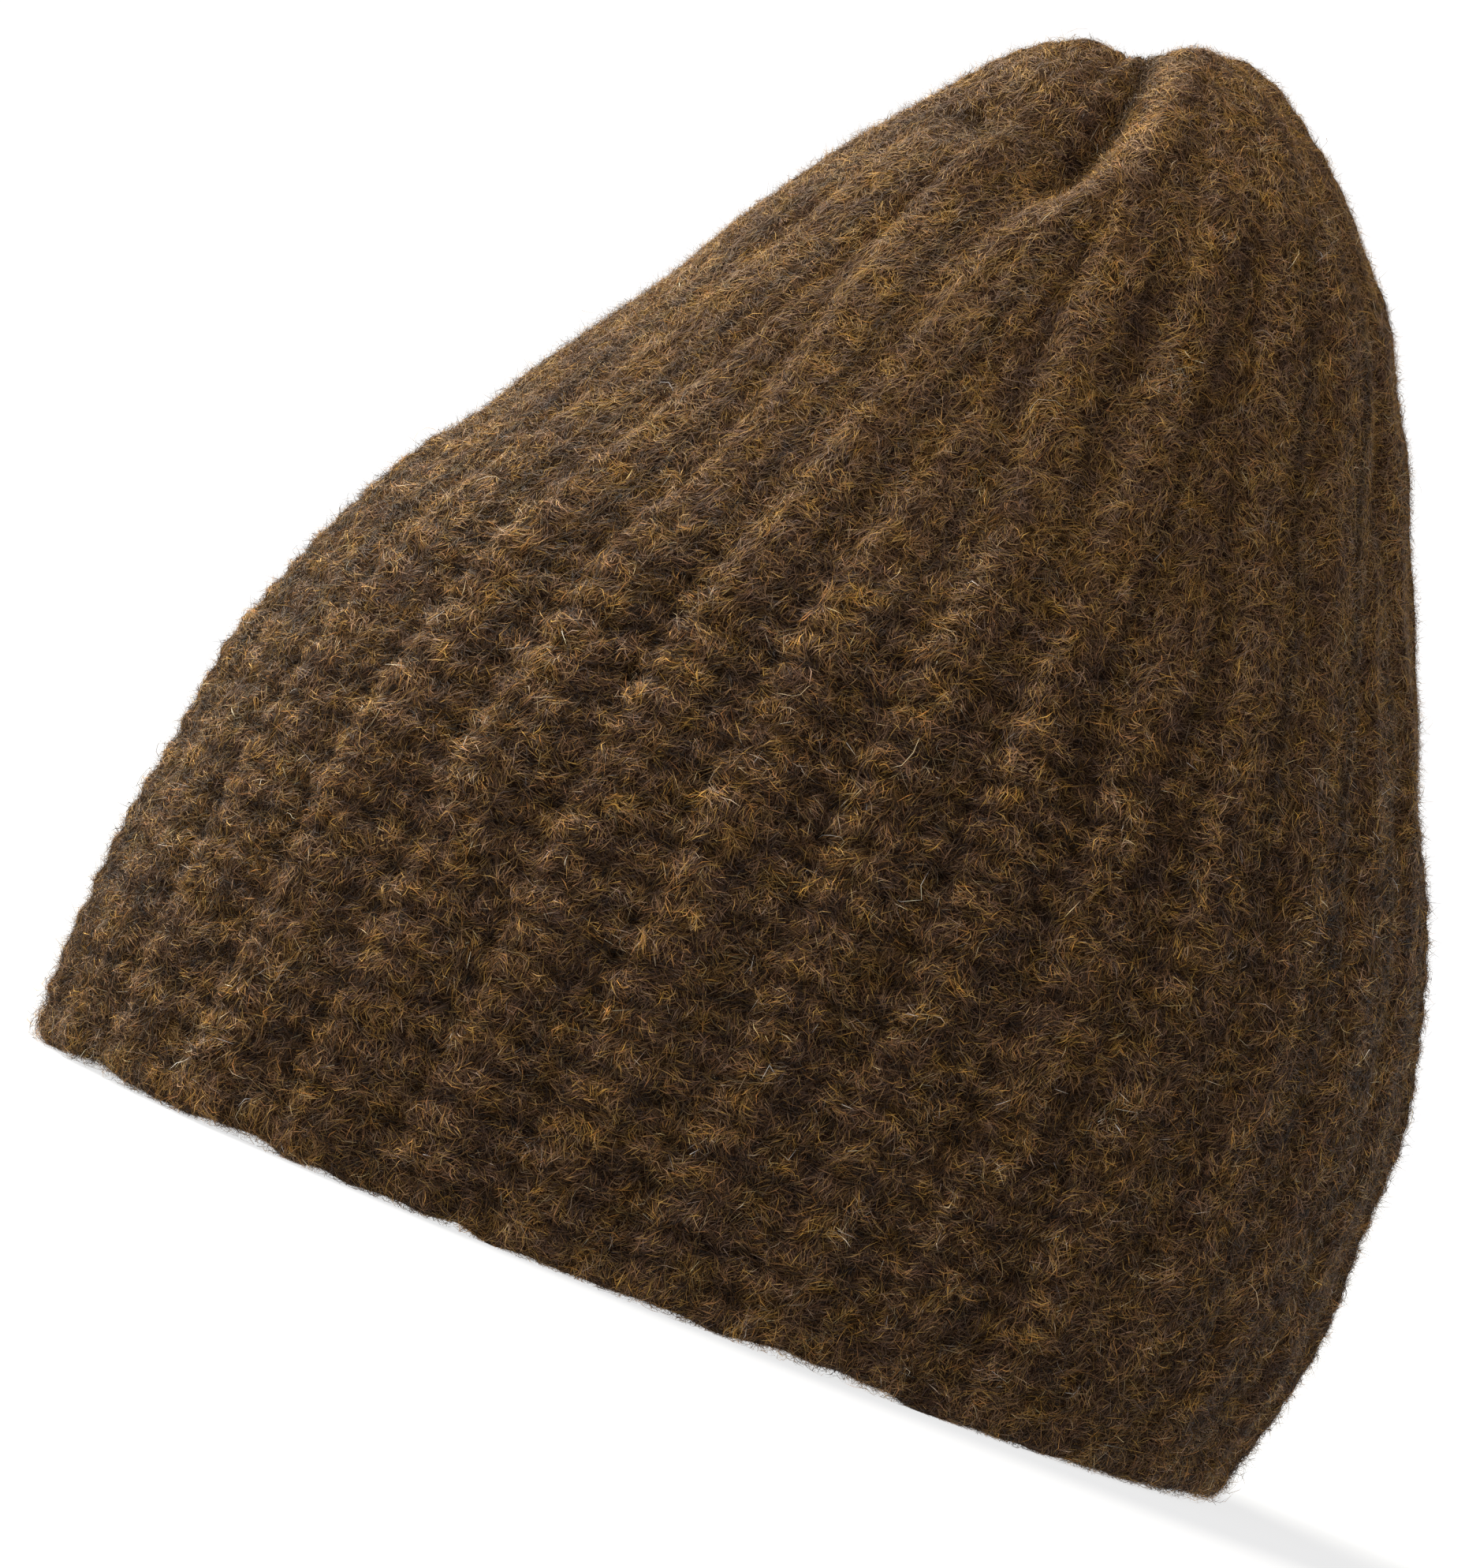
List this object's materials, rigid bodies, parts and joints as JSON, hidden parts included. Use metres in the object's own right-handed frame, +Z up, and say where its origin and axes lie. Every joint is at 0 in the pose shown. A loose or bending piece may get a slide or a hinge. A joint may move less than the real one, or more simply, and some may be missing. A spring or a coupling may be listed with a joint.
{
  "type": "knit beanie",
  "caption": "Ribbed, brushed-wool knit beanie: one hollow cap with a rounded single-edge brim and a crown gathered into a pucker.",
  "frame": {"origin": "on the resting plane of the brim, under the middle of the cap's bounding box", "axes": "+Z up from the brim to the crown, -Y towards the front that the picture shows, X left to right across the front"},
  "size_m": [0.211, 0.169, 0.2194],
  "materials": {
    "brushed_wool": "brushed brown melange wool, matt"
  },
  "bodies": {
    "root": {"knit_body": "brushed_wool"}
  },
  "joints": []
}
